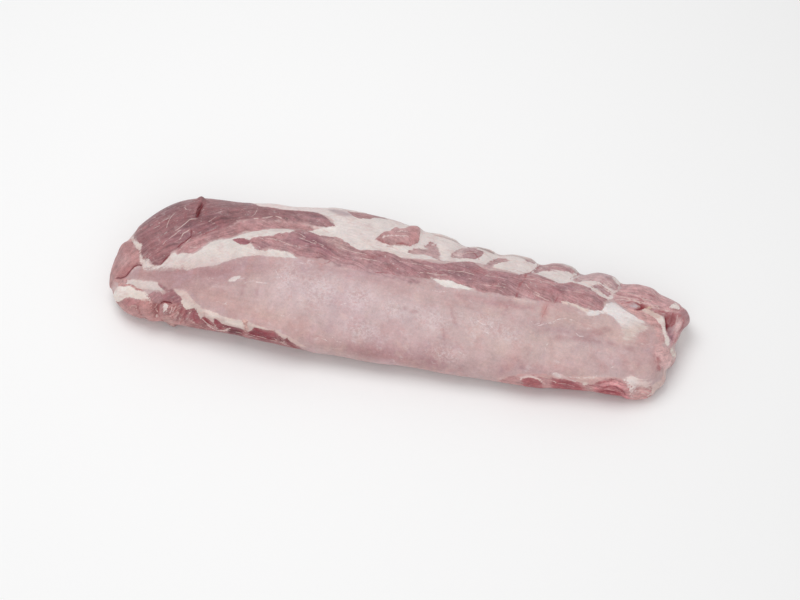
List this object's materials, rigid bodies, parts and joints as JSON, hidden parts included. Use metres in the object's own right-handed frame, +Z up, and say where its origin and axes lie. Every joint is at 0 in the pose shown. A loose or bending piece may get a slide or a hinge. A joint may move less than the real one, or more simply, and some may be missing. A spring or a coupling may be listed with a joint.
{
  "type": "raw boneless pork loin",
  "caption": "Long raw boneless pork loin, silverskin side up, with a muscle cap, a strap muscle, lobed back fat and ragged ends, lying on its flat underside.",
  "frame": {"origin": "centre of the bounding box on the plane the meat lies on", "axes": "+X along the loin from the blade end to the sirloin end, +Y from the rib side to the backbone side, +Z up"},
  "size_m": [0.5569, 0.1683, 0.0665],
  "materials": {
    "meat": "moist raw meat under thin silverskin, with streaks of pale fat"
  },
  "bodies": {
    "root": {"loin": "meat"}
  },
  "joints": []
}
